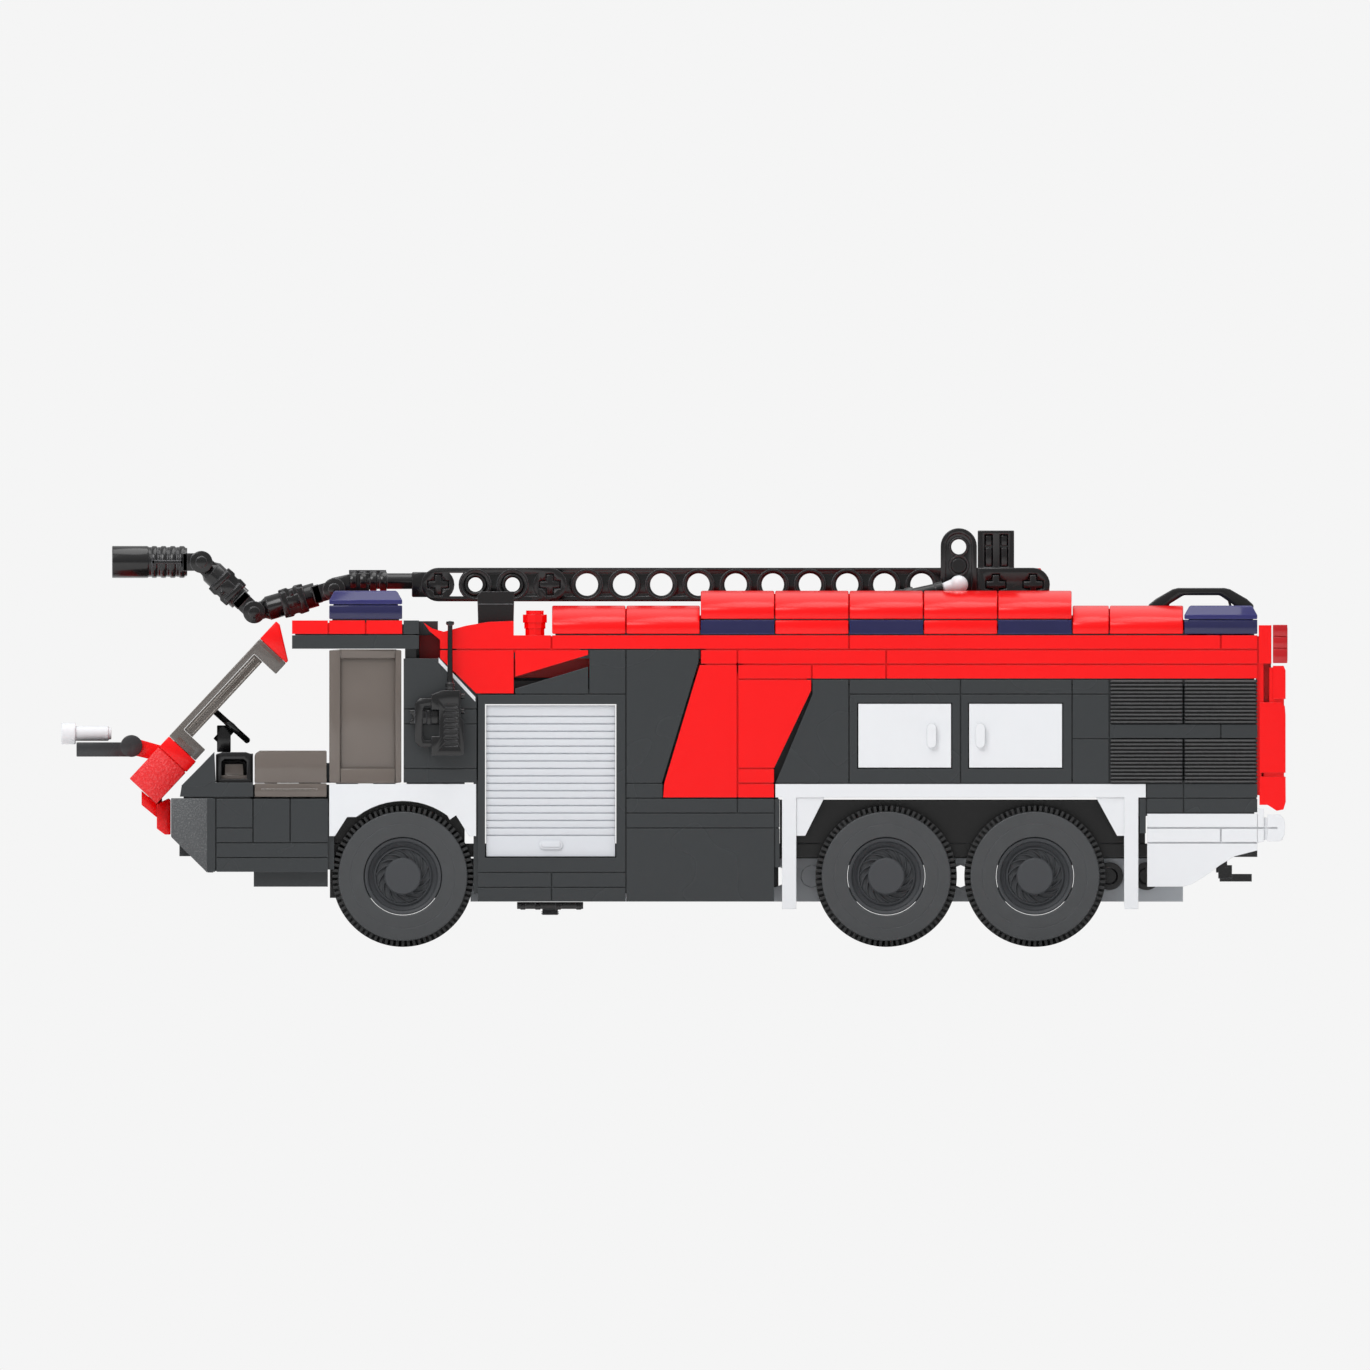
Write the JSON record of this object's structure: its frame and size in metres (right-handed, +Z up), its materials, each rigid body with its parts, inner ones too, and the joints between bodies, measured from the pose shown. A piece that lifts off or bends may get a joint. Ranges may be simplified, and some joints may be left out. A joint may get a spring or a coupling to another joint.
{
  "type": "toy brick-built airport fire truck",
  "caption": "Toy airport fire truck built of studded bricks: three axles, leaning windscreen, roof boom with jointed nozzle, bumper turret, shutters and cupboards.",
  "frame": {"origin": "on the floor under the middle of the truck's overall box", "axes": "+X to the front, +Y to the left side, +Z up"},
  "size_m": [0.2638, 0.0708, 0.0901],
  "materials": {
    "red": "bright red moulded plastic",
    "dark": "dark grey moulded plastic",
    "black": "black moulded plastic",
    "grey": "light bluish grey moulded plastic",
    "white": "white moulded plastic",
    "light": "pale grey moulded plastic",
    "blue": "clear dark blue plastic",
    "smoke": "smoked clear plastic",
    "tail": "clear red plastic",
    "rubber": "dark grey soft rubber with a block tread",
    "hub": "dark grey wheel plastic"
  },
  "bodies": {
    "chassis": {"upper_body": "red", "roof_slopes_left": "red", "roof_slopes_right": "red", "cab_roof_tiles": "red", "screen_cap": "red", "bumper_block": "red", "rear_panel": "red", "mid_body": "dark", "rear_body": "dark", "cupboards": "dark", "shutter_bay": "dark", "cab_front": "dark", "cab_shell": "dark", "chassis_deck": "black", "steering_wheel": "black", "radio_left": "black", "radio_right": "black", "boom_cradle": "black", "roof_rail": "black", "chassis_beams": "grey", "rear_box": "white", "rear_fenders": "white", "front_fender_left": "white", "front_fender_right": "white", "side_lamps_left": "blue", "side_lamps_right": "blue", "front_lamp_left": "blue", "front_lamp_right": "blue", "rear_lamp_left": "blue", "rear_lamp_right": "blue", "windscreen": "smoke", "side_glass_left": "smoke", "side_glass_right": "smoke", "tail_lamp_left": "tail", "tail_lamp_right": "tail"},
    "wheels_front": {"axle_front": "hub", "tyre_front_left": "rubber", "tyre_front_right": "rubber"},
    "wheels_mid": {"axle_mid": "hub", "tyre_mid_left": "rubber", "tyre_mid_right": "rubber"},
    "wheels_rear": {"axle_rear": "hub", "tyre_rear_left": "rubber", "tyre_rear_right": "rubber"},
    "boom": {"boom": "black"},
    "arm_rear": {"arm_rear": "black"},
    "arm_front": {"arm_front": "black"},
    "nozzle": {"nozzle": "black"},
    "lift_barrels": {"lift_barrels": "black"},
    "lift_rods": {"lift_rod_left": "grey", "lift_rod_right": "grey"},
    "turret": {"turret_arm": "dark", "turret_nozzle": "white"},
    "door_front_left": {"door_front_left": "white"},
    "door_front_right": {"door_front_right": "white"},
    "door_rear_left": {"door_rear_left": "white"},
    "door_rear_right": {"door_rear_right": "white"},
    "shutter_left": {"shutter_left": "light"},
    "shutter_right": {"shutter_right": "light"}
  },
  "joints": [
    {"name": "front_axle_spin", "type": "hinge", "parent": "chassis", "child": "wheels_front", "pos_m": [0.0584, 0, 0.0152], "axis": [0, 1, 0], "continuous": true},
    {"name": "mid_axle_spin", "type": "hinge", "parent": "chassis", "child": "wheels_mid", "pos_m": [-0.0456, 0, 0.0152], "axis": [0, 1, 0], "continuous": true},
    {"name": "rear_axle_spin", "type": "hinge", "parent": "chassis", "child": "wheels_rear", "pos_m": [-0.0776, 0, 0.0152], "axis": [0, 1, 0], "continuous": true},
    {"name": "boom_lift", "type": "hinge", "parent": "chassis", "child": "boom", "pos_m": [-0.0772, 0, 0.07796], "axis": [0, -1, 0], "range_deg": [0, 45]},
    {"name": "lift_barrel_tilt", "type": "hinge", "parent": "chassis", "child": "lift_barrels", "pos_m": [-0.03696, 0, 0.0726], "axis": [0, 1, 0], "range_deg": [0, 17.99]},
    {"name": "lift_rod_slide", "type": "slide", "parent": "lift_barrels", "child": "lift_rods", "axis": [-0.9764, 0, 0.2159], "range_m": [0, 0.00876]},
    {"name": "arm_rear_tilt", "type": "hinge", "parent": "boom", "child": "arm_rear", "pos_m": [0.0732, 0, 0.07696], "axis": [0, -1, 0], "range_deg": [0, 60]},
    {"name": "arm_front_tilt", "type": "hinge", "parent": "arm_rear", "child": "arm_front", "pos_m": [0.0904, 0, 0.072], "axis": [0, -1, 0], "range_deg": [-30, 30]},
    {"name": "nozzle_tilt", "type": "hinge", "parent": "arm_front", "child": "nozzle", "pos_m": [0.10176, 0, 0.08282], "axis": [0, -1, 0], "range_deg": [-45, 45]},
    {"name": "turret_tilt", "type": "hinge", "parent": "chassis", "child": "turret", "pos_m": [0.1168, 0, 0.04323], "axis": [0, -1, 0], "range_deg": [-20, 45]},
    {"name": "door_front_left_swing", "type": "hinge", "parent": "chassis", "child": "door_front_left", "pos_m": [-0.03961, 0.03185, 0.04544], "axis": [0, 0, -1], "range_deg": [0, 100]},
    {"name": "door_front_right_swing", "type": "hinge", "parent": "chassis", "child": "door_front_right", "pos_m": [-0.03961, -0.03185, 0.04544], "axis": [0, 0, 1], "range_deg": [0, 100]},
    {"name": "door_rear_left_swing", "type": "hinge", "parent": "chassis", "child": "door_rear_left", "pos_m": [-0.08343, 0.03185, 0.04544], "axis": [0, 0, 1], "range_deg": [0, 100]},
    {"name": "door_rear_right_swing", "type": "hinge", "parent": "chassis", "child": "door_rear_right", "pos_m": [-0.08343, -0.03185, 0.04544], "axis": [0, 0, -1], "range_deg": [0, 100]},
    {"name": "shutter_left_lift", "type": "hinge", "parent": "chassis", "child": "shutter_left", "pos_m": [0.0266, 0.031, 0.05197], "axis": [1, 0, 0], "range_deg": [0, 100]},
    {"name": "shutter_right_lift", "type": "hinge", "parent": "chassis", "child": "shutter_right", "pos_m": [0.0266, -0.031, 0.05197], "axis": [-1, 0, 0], "range_deg": [0, 100]}
  ],
  "couplings": [
    {"joint": "lift_barrel_tilt", "follows": "boom_lift", "ratio": 0.3887},
    {"joint": "lift_rod_slide", "follows": "boom_lift", "m_per_rad": 0.010902}
  ]
}
